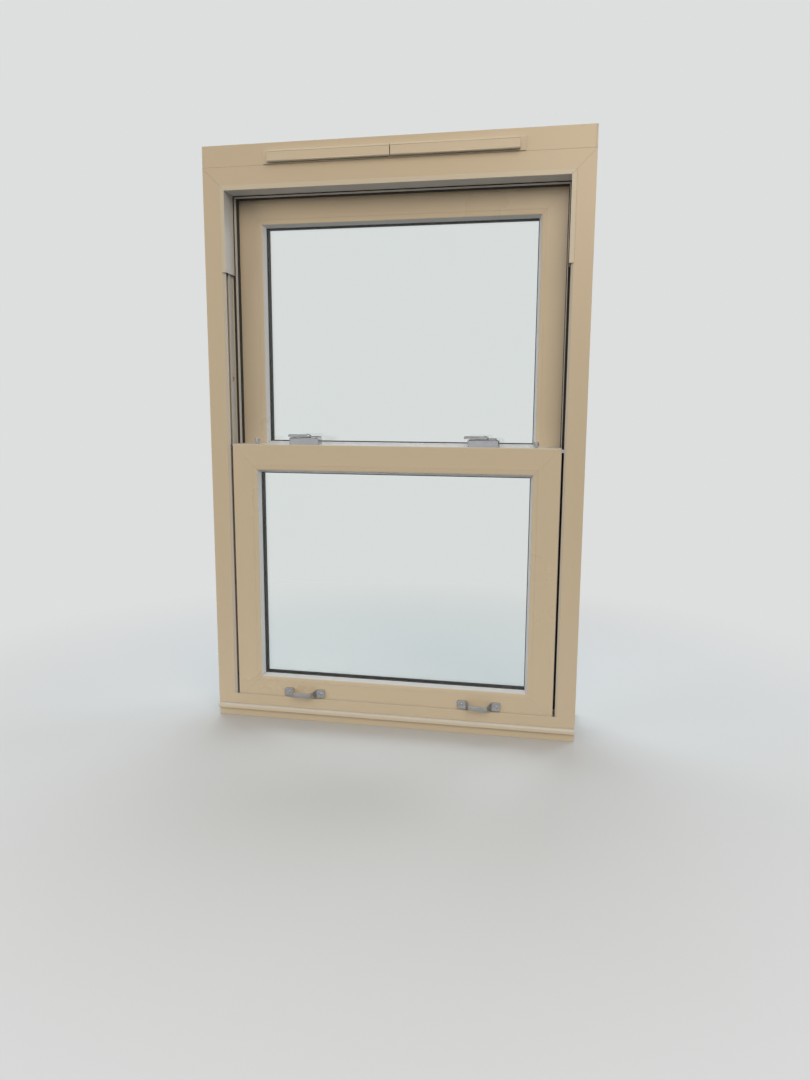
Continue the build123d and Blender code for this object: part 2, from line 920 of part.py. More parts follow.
def upper_interlock():
    # Upward hook along the room face of the upper sash's meeting rail, with a ledge for the keepers
    thick = interlock_thickness
    base = upper_face
    tip = base - interlock_reach - thick - interlock_pass
    arm = lower_top - interlock_drop
    hook_top = lower_top - interlock_hook_gap
    top = lower_top - keeper_ledge_gap
    points = [
        (base, arm),
        (base, top),
        (keeper_front, top),
        (keeper_front, top - thick),
        (base - thick, top - thick),
        (base - thick, arm + thick),
        (tip + thick, arm + thick),
        (tip + thick, hook_top),
        (tip, hook_top),
        (tip, arm),
    ]
    return prism_x(points, -interlock_half, interlock_half)


# Hardware

def catch_plan(inset):
    # Plan of the catch housing with faceted corners, centred on its own origin
    radius = catch_corner - inset
    x = catch_length / 2 - catch_corner
    y = catch_depth / 2 - catch_corner
    points = []
    for start, centre in ((0, (x, y)), (90, (-x, y)), (180, (-x, -y)), (270, (x, -y))):
        points += arc_points(radius, start, start + 90, quarter_sides, centre)
    return points


def catch_middle():
    # Depth of the middle of the catch housing
    return sash_recess + sash_depth - catch_back_gap - catch_depth / 2


def spindle_x(side):
    return side * catch_offset + cam_spindle_offset


def catch_body(side):
    # Cast housing, hollow below, open at the back for the cam and bored for its spindle
    body = prism_z(catch_plan(0), 0, catch_height)
    body = chamfer(body.edges().group_by(Axis.Z)[-1], catch_chamfer)
    body -= prism_z(catch_plan(catch_wall), -past, catch_height - catch_top)
    half = catch_post_width / 2
    for end in (-1, 1):
        x = end * (catch_length / 2 - catch_post_inset)
        y = catch_post_inset - catch_depth / 2
        body += box((x - half, x + half), (y - half, y + half), (0, catch_height - catch_top))
    body = Pos(side * catch_offset, catch_middle(), lower_top) * body
    x = spindle_x(side)
    reach = cam_radius + cam_gap
    body -= box((x - reach, x + reach), (cam_spindle_depth, sash_recess + sash_depth + past),
                (lower_top - past, lower_top + cam_height + cam_thickness + cam_gap))
    bore = Cylinder(cam_spindle_diameter / 2 + cam_spindle_clearance, 2 * catch_height)
    return body - Pos(x, cam_spindle_depth, lower_top + catch_height) * bore


def cam_plan():
    # Arm along +x with its end on the cam's radius and a round heel on the spindle
    half = cam_arm_width / 2
    spread = math.degrees(math.asin(half / cam_radius))
    tip = arc_points(cam_radius, -spread, spread, quarter_sides)
    return tip + arc_points(half, 90, 270, 2 * quarter_sides)


def lever_plan():
    # Tapered grip along -x from the spindle
    tip = (lever_tip_radius - lever_length, 0)
    heel = arc_points(lever_width / 2, -90, 90, 2 * quarter_sides)
    return heel + arc_points(lever_tip_radius, 90, 270, 2 * quarter_sides, tip)


def catch_lever(side):
    # Lever, spindle and cam turn as one; at rest the lever points left and the cam is inside the housing
    place = Pos(spindle_x(side), cam_spindle_depth, 0)
    top = lower_top + catch_height + lever_lift
    cam_low = lower_top + cam_height
    spindle = Cylinder(cam_spindle_diameter / 2, top - cam_low)
    lever = place * Pos(0, 0, (top + cam_low) / 2) * spindle
    cam = Rot(0, 0, cam_rest_angle) * prism_z(cam_plan(), cam_low, cam_low + cam_thickness)
    grip = prism_z(lever_plan(), top, top + lever_thickness)
    grip = chamfer(grip.edges().group_by(Axis.Z)[-1], lever_chamfer)
    return lever + place * cam + place * grip


def catch_keeper(side):
    # Block on the upper sash's ledge with a slot for the cam
    x = spindle_x(side)
    foot = lower_top - keeper_ledge_gap
    half = keeper_length / 2
    keeper = box((x - half, x + half), (keeper_front, upper_face), (foot, foot + keeper_height))
    front_edge = keeper.edges().filter_by(Axis.X).group_by(Axis.Z)[-1].sort_by(Axis.Y)[0]
    keeper = chamfer(front_edge, keeper_bevel)
    low = lower_top + cam_height - keeper_slot_clearance
    high = lower_top + cam_height + cam_thickness + keeper_slot_clearance
    reach = math.sqrt(cam_radius ** 2 - (keeper_front - cam_spindle_depth) ** 2) + keeper_slot_clearance
    back = cam_spindle_depth + cam_radius + keeper_slot_clearance
    return keeper - box((x - reach, x + reach), (keeper_front - past, back), (low, high))


def latch_plate(width, top, depth):
    # Plate sunk in the sash's top edge, slotted for the knob's travel
    high = width / 2 - latch_plate_inset
    half = latch_plate_width / 2
    plate = box((high - latch_plate_length, high), (depth - half, depth + half), (top - latch_plate_thickness, top))
    knob_x = width / 2 - knob_inset
    neck = knob_neck_diameter / 2 + latch_bolt_clearance
    return plate - box((knob_x - latch_travel - neck, knob_x + neck), (depth - neck, depth + neck),
                       (top - latch_plate_thickness - past, top + past))


def tilt_knob(width, top, depth, floor):
    # Knob, neck and spring bolt, sliding towards the middle of the sash
    knob_x = width / 2 - knob_inset
    tip = half_width - floor + latch_bolt_throw
    high = top - sash_wall - latch_bolt_clearance
    half = latch_bolt_width / 2
    bolt = box((knob_x - knob_neck_diameter, tip), (depth - half, depth + half), (high - latch_bolt_height, high))
    bolt = chamfer(bolt.edges().filter_by(Axis.Z).group_by(Axis.X)[-1].sort_by(Axis.Y)[0], half)
    neck_top = top + knob_neck_height
    neck = Pos(knob_x, depth, high) * post(knob_neck_diameter / 2, knob_neck_sides, neck_top - high)
    head = post(knob_diameter / 2, knob_sides, knob_height - knob_neck_height)
    ends = head.edges().group_by(Axis.Z)
    head = chamfer(ends[0] + ends[-1], knob_bevel)
    return bolt + neck + Pos(knob_x, depth, neck_top) * head


def handle_plan():
    # Feet on the rail, sloping legs and a bar that stands out, seen from above
    half = handle_length / 2
    foot_in = half - handle_foot_length
    bar_half = foot_in - handle_slope
    face = sash_recess
    thick = handle_thickness
    front = face - handle_reach
    right = [
        (bar_half, front),
        (foot_in, face - thick),
        (half, face - thick),
        (half, face),
        (foot_in - thick, face),
        (bar_half - handle_inner_set, front + thick),
    ]
    return right + [(-x, y) for x, y in reversed(right)]


def pull_handle(side):
    # D-shaped pull, narrower along its bar than at its feet
    half = handle_length / 2
    foot_in = half - handle_foot_length
    bar_half = foot_in - handle_slope
    waist = handle_bar_height / 2
    middle = handle_foot_height / 2
    front = sash_recess - handle_reach
    handle = prism_z(handle_plan(), -middle, middle)
    for sign in (-1, 1):
        trim = [
            (-foot_in, sign * (middle + past)),
            (-foot_in, sign * middle),
            (-bar_half, sign * waist),
            (bar_half, sign * waist),
            (foot_in, sign * middle),
            (foot_in, sign * (middle + past)),
        ]
        handle -= prism_y(trim, front - past, sash_recess + past)
        bevel = [
            (front - past, sign * (waist - handle_chamfer)),
            (front, sign * (waist - handle_chamfer)),
            (front + handle_chamfer, sign * waist),
            (front + handle_chamfer, sign * (waist + past)),
            (front - past, sign * (waist + past)),
        ]
        handle -= prism_x(bevel, -bar_half, bar_half)
    corners = handle.edges().filter_by(Axis.Y).group_by(Axis.X)
    handle = chamfer(corners[0] + corners[-1], handle_corner)
    return Pos(side * handle_offset, 0, sill_line + handle_from_line + middle) * handle


# Assembly

def save(name, solids):
    # Writes one node, moved so that y = 0 is the middle of the frame's depth
    solids = solids if isinstance(solids, list) else [solids]
    parts = []
    for solid in solids:
        for piece in (Pos(0, room, 0) * solid).solids():
            piece.label = name
            parts.append(piece)
    shape = parts[0] if len(parts) == 1 else Compound(children=parts, label=name)
    export_step(shape, "parts/" + name + ".step")


def build_frame():
    jamb = frame_jamb()
    save("frame_head", frame_head())
    save("frame_jamb_left", jamb)
    save("frame_jamb_right", mirrored(jamb))
    save("frame_sill", frame_sill())
    save("frame_reinforcement", frame_reinforcement())
    sill, sill_caps = outer_sill()
    save("outer_sill", sill)
    save("outer_sill_end_caps", sill_caps)
    save("sill_trim", sill_trim())
    extension, extension_caps = head_extension()
    save("head_extension", extension)
    save("head_extension_end_caps", extension_caps)
    cover, head_cover = left_and_head(track_cover_outline(), cover_foot)
    save("track_cover_left", cover)
    save("track_cover_right", mirrored(cover))
    save("track_cover_head", head_cover)
    save("frame_pile_seals", frame_seals())
    save("vent_body", vent_body())
    save("vent_flap_left", vent_flap(-1))
    save("vent_flap_right", vent_flap(1))
    save("vent_canopy", vent_canopy())
    save("balance_tubes", balance_tubes())


def build_sash(name, width, foot, top, depth, floor):
    bottom, right, upper, left = sash_members(width, foot, top, depth)
    latch_depth = depth + latch_line
    save(name + "_sash_bottom_rail", bottom)
    save(name + "_sash_top_rail", upper)
    save(name + "_sash_stile_left", left)
    save(name + "_sash_stile_right", right)
    save(name + "_sash_reinforcement", sash_steel(width, foot, top, depth))
    save(name + "_glazing_beads", glazing_beads(width, foot, top, depth))
    save(name + "_glass_panes", glass_panes(width, foot, top, depth))
    save(name + "_glass_spacer", glass_spacer(width, foot, top, depth))
    save(name + "_glazing_gaskets", gaskets(width, foot, top, depth))
    save(name + "_pivot_shoes", pivot_shoes(width, foot, latch_depth, floor))
    save(name + "_balance_rods", balance_rods(latch_depth, foot, floor))
    plate = latch_plate(width, top, latch_depth)
    save(name + "_tilt_latch_plates", [plate, mirrored(plate)])
    knob = tilt_knob(width, top, latch_depth, floor)
    save(name + "_tilt_knob_right", knob)
    save(name + "_tilt_knob_left", mirrored(knob))


def build_lower():
    build_sash("lower", lower_width, lower_foot, lower_top, sash_recess, lower_floor)
    save("lower_interlock", lower_interlock())
    for name, side in (("left", -1), ("right", 1)):
        save("catch_body_" + name, catch_body(side))
        save("catch_lever_" + name, catch_lever(side))
        save("pull_handle_" + name, pull_handle(side))


def build_upper():
    build_sash("upper", upper_width, upper_foot, upper_top, upper_face, upper_floor)
    save("upper_interlock", upper_interlock())
    save("catch_keepers", [catch_keeper(-1), catch_keeper(1)])


os.makedirs("parts", exist_ok=True)
build_frame()
build_lower()
build_upper()
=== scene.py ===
# %% [markdown]
# A vertical sliding sash window in white plastic. The construction comes in as a fixed frame of
# solids. This lesson gives it its finish: softened and welded edges, glossy plastic, glass, bright
# handles and catches, screws, brush seals, and a plain studio to look at it in.

# %% Load the frame
import json
import math

import bmesh
import bpy
from mathutils import Matrix, Vector


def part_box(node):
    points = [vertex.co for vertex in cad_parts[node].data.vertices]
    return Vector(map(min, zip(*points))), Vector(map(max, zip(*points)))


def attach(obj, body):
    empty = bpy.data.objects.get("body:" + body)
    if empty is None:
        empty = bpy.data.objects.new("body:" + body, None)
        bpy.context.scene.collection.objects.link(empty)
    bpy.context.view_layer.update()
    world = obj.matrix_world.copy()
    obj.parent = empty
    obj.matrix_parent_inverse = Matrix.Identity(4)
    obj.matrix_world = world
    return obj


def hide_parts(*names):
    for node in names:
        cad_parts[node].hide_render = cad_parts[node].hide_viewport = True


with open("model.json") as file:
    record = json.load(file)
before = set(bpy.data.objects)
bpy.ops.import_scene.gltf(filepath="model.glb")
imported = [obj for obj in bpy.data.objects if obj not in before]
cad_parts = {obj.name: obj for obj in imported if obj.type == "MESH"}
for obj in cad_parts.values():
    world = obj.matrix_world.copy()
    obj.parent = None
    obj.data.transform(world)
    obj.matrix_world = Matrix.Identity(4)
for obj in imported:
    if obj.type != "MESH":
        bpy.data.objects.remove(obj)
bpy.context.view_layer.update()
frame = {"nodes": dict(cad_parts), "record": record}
nodes = frame["nodes"]
record = frame["record"]
members_of = record["behaviour"]["bodies"]
body_of = {node: body for body, members in members_of.items() for node in members}
slot_of = {part["node"]: part["material_slot"] for part in record["subparts"]}
MM = 0.001

# %% [markdown]
# Every mesh of this lesson is shaped in place, in the frame's own coordinates, and then becomes an
# object. So each object stays at the origin, unturned and unscaled, and lines up with the solids.

# %% From a shape to an object
def as_object(name, shape):
    mesh = bpy.data.meshes.new(name)
    shape.to_mesh(mesh)
    shape.free()
    made = bpy.data.objects.new(name, mesh)
    bpy.context.scene.collection.objects.link(made)
    return made


print("shapes become objects of", bpy.context.scene.name)

# %% [markdown]
# Finishes are wired with the same few moves again and again: give a socket its value, reckon with
# numbers, mix two colours, move a value from one range to another. As functions they keep each
# finish short enough to read as a list of its own values.

# %% Wiring helpers
UNIT = (0.0, 1.0)
BLACK = (0.0, 0.0, 0.0, 1.0)


def feed(tree, socket, value):
    # A socket takes either another node's output or a plain value
    if isinstance(value, bpy.types.NodeSocket):
        tree.links.new(value, socket)
    else:
        socket.default_value = value


def reckon(tree, operation, *values):
    node = tree.nodes.new("ShaderNodeMath")
    node.operation = operation
    for socket, value in zip(node.inputs, values):
        feed(tree, socket, value)
    return node.outputs["Value"]


def blend(tree, factor, first, second):
    node = tree.nodes.new("ShaderNodeMix")
    node.data_type = "RGBA"
    feed(tree, node.inputs["Factor"], factor)
    feed(tree, node.inputs["A"], first)
    feed(tree, node.inputs["B"], second)
    return node.outputs["Result"]


def spread(tree, value, source, target, curve="LINEAR"):
    node = tree.nodes.new("ShaderNodeMapRange")
    node.interpolation_type = curve
    feed(tree, node.inputs["Value"], value)
    for label, limit in zip(("From Min", "From Max", "To Min", "To Max"), source + target):
        feed(tree, node.inputs[label], limit)
    return node.outputs["Result"]


def noise(tree, vector, scale, detail):
    node = tree.nodes.new("ShaderNodeTexNoise")
    node.inputs["Detail"].default_value = detail
    feed(tree, node.inputs["Vector"], vector)
    feed(tree, node.inputs["Scale"], scale)
    return node.outputs["Fac"]


def parted(tree, vector):
    node = tree.nodes.new("ShaderNodeSeparateXYZ")
    feed(tree, node.inputs["Vector"], vector)
    return node.outputs


helpers = (feed, reckon, blend, spread, noise, parted)
print("wiring helpers:", ", ".join(helper.__name__ for helper in helpers))

# %% [markdown]
# The camera stands inside the room, right of the window's middle and a little higher than its
# meeting rail, turned left and tipped down. The lens is kept as a focal length in pixels of a
# picture 1080 high, because that is how it can be measured in a photograph.

# %% Camera
CAMERA_PLACE = Vector((387.1, -1858.0, 745.8)) * MM
CAMERA_YAW = math.radians(11.14)
CAMERA_PITCH = math.radians(9.30)
CAMERA_ROLL = math.radians(0.286)
FOCAL_PIXELS = 819.4
PICTURE_HEIGHT = 1080
SENSOR = 36.0
NEAREST = 50.0 * MM


def aim_camera():
    forward = Vector((
        -math.sin(CAMERA_YAW) * math.cos(CAMERA_PITCH),
        math.cos(CAMERA_YAW) * math.cos(CAMERA_PITCH),
        -math.sin(CAMERA_PITCH),
    ))
    level = Vector((math.cos(CAMERA_YAW), math.sin(CAMERA_YAW), 0.0))
    above = level.cross(forward)
    right = level * math.cos(CAMERA_ROLL) + above * math.sin(CAMERA_ROLL)
    up = above * math.cos(CAMERA_ROLL) - level * math.sin(CAMERA_ROLL)
    turn = Matrix((right, up, -forward)).transposed()
    data = bpy.data.cameras.new("camera")
    data.sensor_width = SENSOR
    data.lens = FOCAL_PIXELS * SENSOR / PICTURE_HEIGHT
    data.clip_start = NEAREST
    camera = bpy.data.objects.new("camera", data)
    camera.matrix_world = Matrix.Translation(CAMERA_PLACE) @ turn.to_4x4()
    bpy.context.scene.collection.objects.link(camera)
    bpy.context.scene.camera = camera
    return camera


print("camera at", tuple(round(value, 3) for value in aim_camera().location))

# %% [markdown]
# A studio needs a floor and a background. The floor is one large pale sheet. Near the window it
# takes light and shadow as paper would. Further out it fades into the pale background, so that no
# horizon shows from any side.

# %% Floor
FLOOR_SIZE = 120.0
FLOOR_COLOUR = (0.56, 0.55, 0.53, 1.0)
FLOOR_ROUGHNESS = 0.85
SHOWN_COLOUR = (0.725, 0.735, 0.735, 1.0)
SHOWN_STRENGTH = 1.0
FADE = (0.35, 1.6)


def looked_at(tree):
    # One where the camera sees a place, straight, in a mirror or through glass, and else nought
    path = tree.nodes.new("ShaderNodeLightPath")
    seen = path.outputs["Is Camera Ray"]
    for kind in ("Is Glossy Ray", "Is Transmission Ray"):
        seen = reckon(tree, "MAXIMUM", seen, path.outputs[kind])
    return seen


def floor_material():
    material = bpy.data.materials.new("floor")
    material.use_nodes = True
    tree = material.node_tree
    shader = tree.nodes["Principled BSDF"]
    shader.inputs["Roughness"].default_value = FLOOR_ROUGHNESS
    shader.inputs["Specular IOR Level"].default_value = 0.0
    shader.inputs["Emission Strength"].default_value = SHOWN_STRENGTH
    distance = tree.nodes.new("ShaderNodeVectorMath")
    distance.operation = "LENGTH"
    place = tree.nodes.new("ShaderNodeTexCoord").outputs["Object"]
    feed(tree, distance.inputs[0], place)
    fade = spread(tree, distance.outputs["Value"], FADE, UNIT, "SMOOTHSTEP")
    feed(tree, shader.inputs["Base Color"], blend(tree, fade, FLOOR_COLOUR, BLACK))
    shown = reckon(tree, "MULTIPLY", fade, looked_at(tree))
    feed(tree, shader.inputs["Emission Color"], blend(tree, shown, BLACK, SHOWN_COLOUR))
    return material


def make_floor():
    shape = bmesh.new()
    bmesh.ops.create_grid(shape, x_segments=1, y_segments=1, size=FLOOR_SIZE / 2)
    floor = as_object("floor", shape)
    floor.data.materials.append(floor_material())


make_floor()
print("floor", FLOOR_SIZE, "m across, fading from", FADE[0], "to", FADE[1], "m")

# %% [markdown]
# The background is pale where it is looked at, and dimmer and cooler as a light. A bright one
# would fill every track and groove with light and hide them.

# %% Background
WORLD_COLOUR = (0.85, 0.92, 1.0, 1.0)
WORLD_LIGHT = 0.55


def make_world():
    world = bpy.data.worlds.new("studio")
    bpy.context.scene.world = world
    world.use_nodes = True
    tree = world.node_tree
    background = tree.nodes["Background"]
    seen = looked_at(tree)
    feed(tree, background.inputs["Color"], blend(tree, seen, WORLD_COLOUR, SHOWN_COLOUR))
    strength = spread(tree, seen, UNIT, (WORLD_LIGHT, SHOWN_STRENGTH))
    feed(tree, background.inputs["Strength"], strength)


make_world()
print("background shown at", SHOWN_STRENGTH, "and lighting at", WORLD_LIGHT)

# %% [markdown]
# Soft lamps do the rest. Two warm ones stand on the room side. Three cooler ones stand outside,
# above and at both sides, like daylight. Where the faces meet the warm light and the reveals and
# bevels meet the cool one, the edges of the profiles read clearly. The panes would mirror a lamp
# as a white square, so only the key lamp, which gives the metal its glints, leaves a reflection.

# %% Lamps
WINDOW_MIDDLE = (0.0, 0.0, 0.66)
WARM = (1.0, 0.88, 0.72)
COOL = (0.79, 0.90, 1.0)
OPEN_SPREAD = math.pi
DAY_SPREAD = math.radians(90)
DAY_REACH = 1.7


def add_lamp(name, place, size, power, colour, spread_angle, mirrored=False):
    data = bpy.data.lights.new(name, "AREA")
    data.shape = "RECTANGLE"
    data.size, data.size_y = size
    data.energy = power
    data.color = colour
    data.spread = spread_angle
    lamp = bpy.data.objects.new(name, data)
    way = Vector(WINDOW_MIDDLE) - Vector(place)
    turn = way.to_track_quat("-Z", "Y").to_matrix().to_4x4()
    lamp.matrix_world = Matrix.Translation(place) @ turn
    lamp.visible_camera = False
    lamp.visible_transmission = False
    lamp.visible_glossy = mirrored
    bpy.context.scene.collection.objects.link(lamp)


add_lamp("key_lamp", (1.1, -2.5, 2.3), (2.2, 1.8), 44.0, WARM, OPEN_SPREAD, mirrored=True)
add_lamp("fill_lamp", (-2.3, -2.2, 1.2), (1.6, 1.6), 20.0, WARM, OPEN_SPREAD)
add_lamp("day_lamp_high", (-0.3, DAY_REACH, 2.5), (2.0, 1.2), 13.5, COOL, DAY_SPREAD)
for side, x in (("left", -DAY_REACH), ("right", DAY_REACH)):
    add_lamp("day_lamp_" + side, (x, 1.5, 0.9), (0.9, 1.4), 7.8, COOL, DAY_SPREAD)
bpy.context.scene.view_settings.view_transform = "Standard"
print("lamps:", ", ".join(f"{light.name} {light.energy:g} W" for light in bpy.data.lights))

# %% [markdown]
# Plastics, metals and rubber share a few effects, so each effect is a node group with named
# sockets and is made once. The first is mottle: a colour that wanders softly between two others,
# as no real surface has one even tone.

# %% Group: mottle
CLOUD_DETAIL = 5.0
CLOUD_RANGE = (0.15, 0.85)


def make_group(name, inputs, outputs):
    group = bpy.data.node_groups.new(name, "ShaderNodeTree")
    for label, kind, value in inputs:
        socket = group.interface.new_socket(label, in_out="INPUT", socket_type=kind)
        if value is not None:
            socket.default_value = value
    for label, kind in outputs:
        group.interface.new_socket(label, in_out="OUTPUT", socket_type=kind)
    entry = group.nodes.new("NodeGroupInput").outputs
    leave = group.nodes.new("NodeGroupOutput").inputs
    return group, entry, leave


def mottle_group():
    group, entry, leave = make_group(
        "mottle",
        [("Vector", "NodeSocketVector", None), ("Scale", "NodeSocketFloat", 8.0),
         ("Light", "NodeSocketColor", None), ("Dark", "NodeSocketColor", None)],
        [("Color", "NodeSocketColor"), ("Mask", "NodeSocketFloat")],
    )
    cloud = noise(group, entry["Vector"], entry["Scale"], CLOUD_DETAIL)
    mask = spread(group, cloud, CLOUD_RANGE, UNIT)
    feed(group, leave["Color"], blend(group, mask, entry["Light"], entry["Dark"]))
    feed(group, leave["Mask"], mask)
    return group


MOTTLE = mottle_group()
print("group", MOTTLE.name)

# %% [markdown]
# Moulded plastic and rubber have a skin like orange peel: a fine grain on a broad swell. A group
# gives its height, and each finish uses it as a bump, because the grain is far too fine to model.

# %% Group: relief
FINE_DETAIL = 2.0
BROAD_DETAIL = 1.0
FINE_SHARE = 0.35


def relief_group():
    group, entry, leave = make_group(
        "relief",
        [("Vector", "NodeSocketVector", None), ("Fine", "NodeSocketFloat", 900.0),
         ("Broad", "NodeSocketFloat", 60.0)],
        [("Height", "NodeSocketFloat")],
    )
    fine = noise(group, entry["Vector"], entry["Fine"], FINE_DETAIL)
    broad = noise(group, entry["Vector"], entry["Broad"], BROAD_DETAIL)
    feed(group, leave["Height"], reckon(group, "MULTIPLY_ADD", fine, FINE_SHARE, broad))
    return group


RELIEF = relief_group()
print("group", RELIEF.name)

# %% [markdown]
# Brushed metal and woven pile are both made of lines. A noise pulled out along one axis gives
# them, and the stretch says which axis and how far.

# %% Group: strands
STRAND_DETAIL = 3.0
STRAND_RANGE = (0.3, 0.7)


def strands_group():
    group, entry, leave = make_group(
        "strands",
        [("Vector", "NodeSocketVector", None), ("Stretch", "NodeSocketVector", (1.0, 1.0, 1.0)),
         ("Scale", "NodeSocketFloat", 400.0)],
        [("Mask", "NodeSocketFloat")],
    )
    stretch = group.nodes.new("ShaderNodeVectorMath")
    stretch.operation = "MULTIPLY"
    feed(group, stretch.inputs[0], entry["Vector"])
    feed(group, stretch.inputs[1], entry["Stretch"])
    lines = noise(group, stretch.outputs["Vector"], entry["Scale"], STRAND_DETAIL)
    feed(group, leave["Mask"], spread(group, lines, STRAND_RANGE, UNIT))
    return group


STRANDS = strands_group()
print("group", STRANDS.name)

# %% [markdown]
# This group paints the room lamps' light into the colour. It takes a surface direction and gives a
# warm cream, a painted cast of the warm lamps, to what looks into the room, and the plastic's white
# to the reveals, slopes and outer faces. The direction is the object's own, so it holds from any
# view.

# %% Group: painted room light
TOWARDS_ROOM = -1.0


def painted_room_light_group():
    group, entry, leave = make_group(
        "room_tone",
        [("Vector", "NodeSocketVector", None), ("Low", "NodeSocketFloat", 0.45),
         ("High", "NodeSocketFloat", 0.85), ("Room", "NodeSocketColor", None),
         ("Reveal", "NodeSocketColor", None)],
        [("Color", "NodeSocketColor"), ("Mask", "NodeSocketFloat")],
    )
    # Faces turned to the room get the Room colour, which is painted warm lamplight
    facing = reckon(group, "MULTIPLY", parted(group, entry["Vector"])["Y"], TOWARDS_ROOM)
    mask = spread(group, facing, (entry["Low"], entry["High"]), UNIT)
    feed(group, leave["Color"], blend(group, mask, entry["Reveal"], entry["Room"]))
    feed(group, leave["Mask"], mask)
    return group


PAINTED_ROOM_LIGHT = painted_room_light_group()
print("group", PAINTED_ROOM_LIGHT.name)

# %% [markdown]
# Thin dust settles on whatever faces up. The group multiplies how far a surface looks up by a
# patchy noise and by an amount, which keeps the dust off upright faces without any painting.

# %% Group: settled dust
UPWARD_RANGE = (0.5, 0.95)
SPECK_DETAIL = 6.0
SPECK_RANGE = (0.3, 0.75)


def dust_group():
    group, entry, leave = make_group(
        "settled_dust",
        [("Vector", "NodeSocketVector", None), ("Normal", "NodeSocketVector", None),
         ("Scale", "NodeSocketFloat", 55.0), ("Amount", "NodeSocketFloat", 0.15)],
        [("Mask", "NodeSocketFloat")],
    )
    upward = spread(group, parted(group, entry["Normal"])["Z"], UPWARD_RANGE, UNIT)
    specks = noise(group, entry["Vector"], entry["Scale"], SPECK_DETAIL)
    patches = spread(group, specks, SPECK_RANGE, UNIT)
    settled = reckon(group, "MULTIPLY", upward, patches)
    feed(group, leave["Mask"], reckon(group, "MULTIPLY", settled, entry["Amount"]))
    return group


DUST = dust_group()
print("group", DUST.name)

# %% [markdown]
# Every finish starts the same way: a Principled shader and the object's own coordinates. The
# helpers below start one, place a shared group in it and wire a bump.

# %% Material helpers
def start_material(name, metallic=0.0, roughness=0.4):
    material = bpy.data.materials.new(name)
    material.use_nodes = True
    tree = material.node_tree
    shader = tree.nodes["Principled BSDF"]
    shader.inputs["Metallic"].default_value = metallic
    shader.inputs["Roughness"].default_value = roughness
    place = tree.nodes.new("ShaderNodeTexCoord").outputs["Object"]
    return material, tree, shader, place


def use_group(tree, group, place, **values):
    node = tree.nodes.new("ShaderNodeGroup")
    node.node_tree = group
    feed(tree, node.inputs["Vector"], place)
    for label, value in values.items():
        feed(tree, node.inputs[label], value)
    return node.outputs


def add_bump(tree, shader, height, strength, distance):
    bump = tree.nodes.new("ShaderNodeBump")
    bump.inputs["Strength"].default_value = strength
    bump.inputs["Distance"].default_value = distance
    feed(tree, bump.inputs["Height"], height)
    feed(tree, shader.inputs["Normal"], bump.outputs["Normal"])


FINISHES = {}
print("material helpers:", start_material.__name__, use_group.__name__, add_bump.__name__)

# %% [markdown]
# The profiles are extruded and welded from white PVC-U, glossy with a faint orange-peel skin. On
# the faces that look into the room, the warm light of the room lamps is painted in as a cream. The
# reveals, the slopes beside the glass and the outer faces show the plastic's cool white. Covers and
# other mouldings are a shade whiter.

# %% White plastics
# The CREAM colours are the plastic's white with painted warm lamplight; the WHITE colours are the
# plastic's own
CREAM = (0.620, 0.508, 0.355)
COOL_WHITE = (0.585, 0.575, 0.550)
SASH_CREAM = (0.630, 0.515, 0.360)
SASH_WHITE = (0.60, 0.605, 0.600)
COVER_CREAM = (0.630, 0.545, 0.415)
COVER_WHITE = (0.60, 0.594, 0.575)
VENT_CREAM = (0.655, 0.545, 0.390)
VENT_WHITE = (0.62, 0.590, 0.530)
BALANCE_GREY = (0.42, 0.42, 0.41)
TONE_DRIFT = 0.965
DRIFT_SCALE = 4.0
DUST_COLOUR = (0.40, 0.37, 0.32, 1.0)
DUST_ON_PLASTIC = 0.22
GLOSS_DRIFT = (-0.03, 0.04)
PEEL_FINE = 1400.0
PEEL_BROAD = 90.0
PEEL_DEPTH = 0.2 * MM


def shade(colour, factor=1.0):
    return tuple(value * factor for value in colour) + (1.0,)


def plastic(name, room, reveal, roughness, peel):
    material, tree, shader, place = start_material(name, roughness=roughness)
    normal = tree.nodes.new("ShaderNodeTexCoord").outputs["Normal"]
    # Room-facing faces get the cream, a painted warm lamp cast, and all other faces get the white
    light, dark = (
        use_group(tree, PAINTED_ROOM_LIGHT, normal, Room=shade(room, drift), Reveal=shade(reveal, drift))["Color"]
        for drift in (1.0, TONE_DRIFT)
    )
    drift = use_group(tree, MOTTLE, place, Scale=DRIFT_SCALE, Light=light, Dark=dark)
    dust = use_group(tree, DUST, place, Normal=normal, Amount=DUST_ON_PLASTIC)["Mask"]
    feed(tree, shader.inputs["Base Color"], blend(tree, dust, drift["Color"], DUST_COLOUR))
    around = tuple(roughness + change for change in GLOSS_DRIFT)
    gloss = spread(tree, drift["Mask"], UNIT, around)
    feed(tree, shader.inputs["Roughness"], reckon(tree, "ADD", gloss, dust))
    skin = use_group(tree, RELIEF, place, Fine=PEEL_FINE, Broad=PEEL_BROAD)
    add_bump(tree, shader, skin["Height"], peel, PEEL_DEPTH)
    FINISHES[name] = material


plastic("frame_plastic", CREAM, COOL_WHITE, roughness=0.32, peel=0.10)
plastic("sash_plastic", SASH_CREAM, SASH_WHITE, roughness=0.28, peel=0.08)
plastic("trim_plastic", COVER_CREAM, COVER_WHITE, roughness=0.34, peel=0.14)
plastic("vent_plastic", VENT_CREAM, VENT_WHITE, roughness=0.40, peel=0.20)
plastic("interlock_metal", COVER_CREAM, COVER_WHITE, roughness=0.36, peel=0.10)
plastic("balance_plastic", BALANCE_GREY, BALANCE_GREY, roughness=0.50, peel=0.40)
print("plastics:", ", ".join(FINISHES))

# %% [markdown]
# Metals differ in their roughness and in the marks that working them leaves. The handles, catches
# and knobs are bright plated, and the bars between the panes are plain aluminium. Both carry fine
# lines along the window's width.

